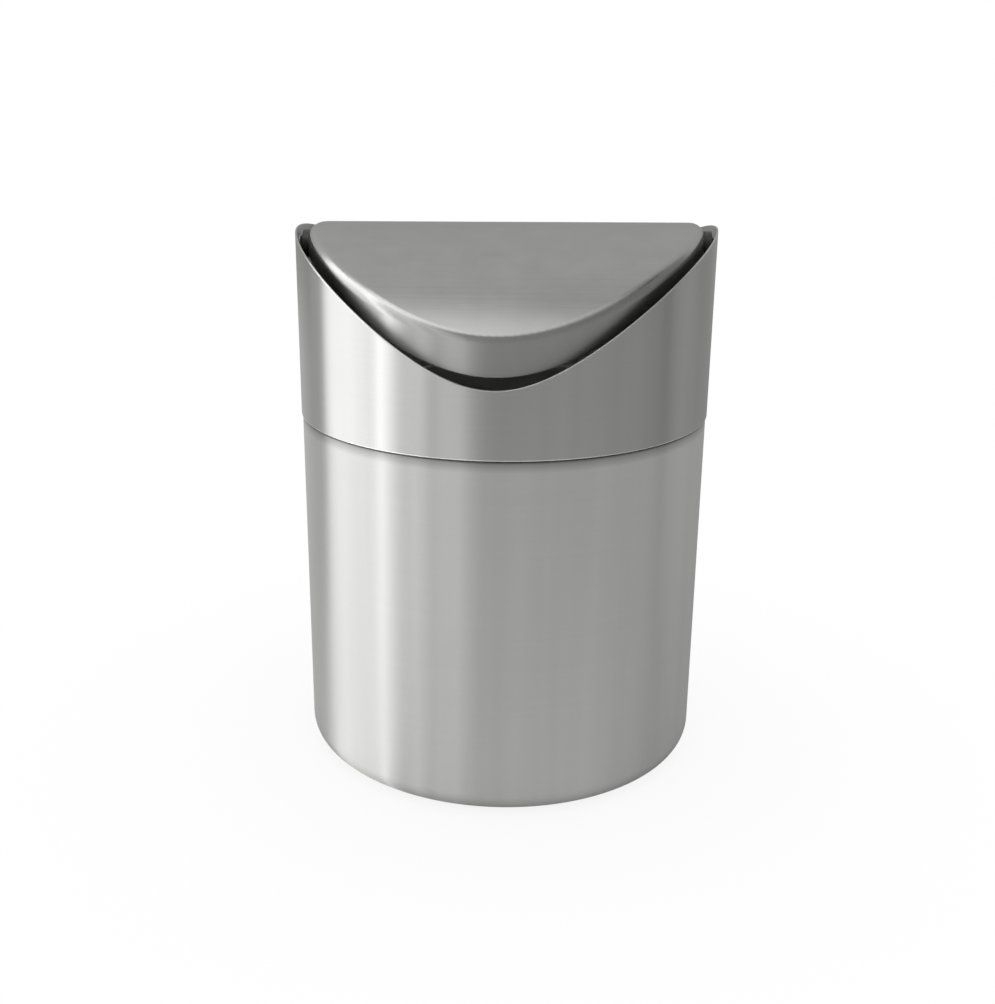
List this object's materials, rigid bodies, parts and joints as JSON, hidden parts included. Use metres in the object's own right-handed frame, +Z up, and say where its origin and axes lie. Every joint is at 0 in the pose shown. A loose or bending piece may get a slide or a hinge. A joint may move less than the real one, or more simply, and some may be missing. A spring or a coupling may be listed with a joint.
{
  "type": "countertop trash can with swing lid",
  "caption": "Small round brushed-steel countertop bin: a drawn can under a saddle-edged collar that lifts off, with an arched flap that swings on side pins.",
  "frame": {"origin": "centre of the underside, on the surface the bin stands on", "axes": "+Z up through the can's axis, -Y the front, +X to the right seen from the front; the flap swings about an axis along X"},
  "size_m": [0.12, 0.12, 0.158],
  "materials": {
    "can_steel": "satin, brushed round the can",
    "collar_steel": "satin, brushed round the collar, bright rounded edge",
    "flap_steel": "satin, brushed from side to side",
    "inner_steel": "plain mill finish",
    "pin_steel": "turned, bright",
    "clip_steel": "spring steel, tempered dark",
    "bush_plastic": "matte black acetal",
    "pad_foam": "matte black, fine-grained"
  },
  "bodies": {
    "can": {"can_shell": "can_steel", "base_pad": "pad_foam"},
    "lid": {"collar_shell": "collar_steel", "spigot_ring": "inner_steel", "hinge_plate_left": "inner_steel", "pivot_pin_left": "pin_steel", "pin_clip_left": "clip_steel", "hinge_plate_right": "inner_steel", "pivot_pin_right": "pin_steel", "pin_clip_right": "clip_steel"},
    "flap": {"flap_shell": "flap_steel", "pivot_bush_left": "bush_plastic", "pivot_bush_right": "bush_plastic"}
  },
  "joints": [
    {"name": "lid_lift", "type": "slide", "parent": "can", "child": "lid", "axis": [0, 0, 1], "range_m": [0, 0.03]},
    {"name": "flap_swing", "type": "hinge", "parent": "lid", "child": "flap", "pos_m": [0, 0, 0.152], "axis": [1, 0, 0], "range_deg": [-85, 85]}
  ]
}
